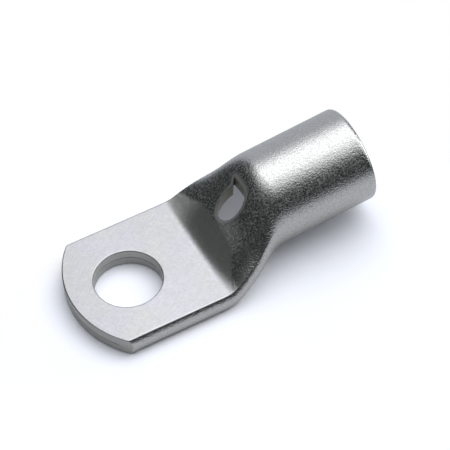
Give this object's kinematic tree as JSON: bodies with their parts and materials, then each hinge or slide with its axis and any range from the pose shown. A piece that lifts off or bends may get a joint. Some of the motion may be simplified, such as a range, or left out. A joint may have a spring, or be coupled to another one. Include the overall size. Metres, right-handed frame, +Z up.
{
  "type": "tubular cable lug",
  "caption": "Tin-plated copper cable lug: a round barrel takes the conductor, and the pressed flat palm is punched for a stud.",
  "frame": {"origin": "centre of the stud hole at the palm's underside", "axes": "+X from the stud hole towards the barrel's mouth, +Z up out of the palm along the stud"},
  "size_m": [0.0491, 0.022, 0.0168],
  "materials": {
    "tinned_copper": "satin tin plating over copper, finely tumbled"
  },
  "bodies": {
    "root": {"cable_lug": "tinned_copper"}
  },
  "joints": []
}
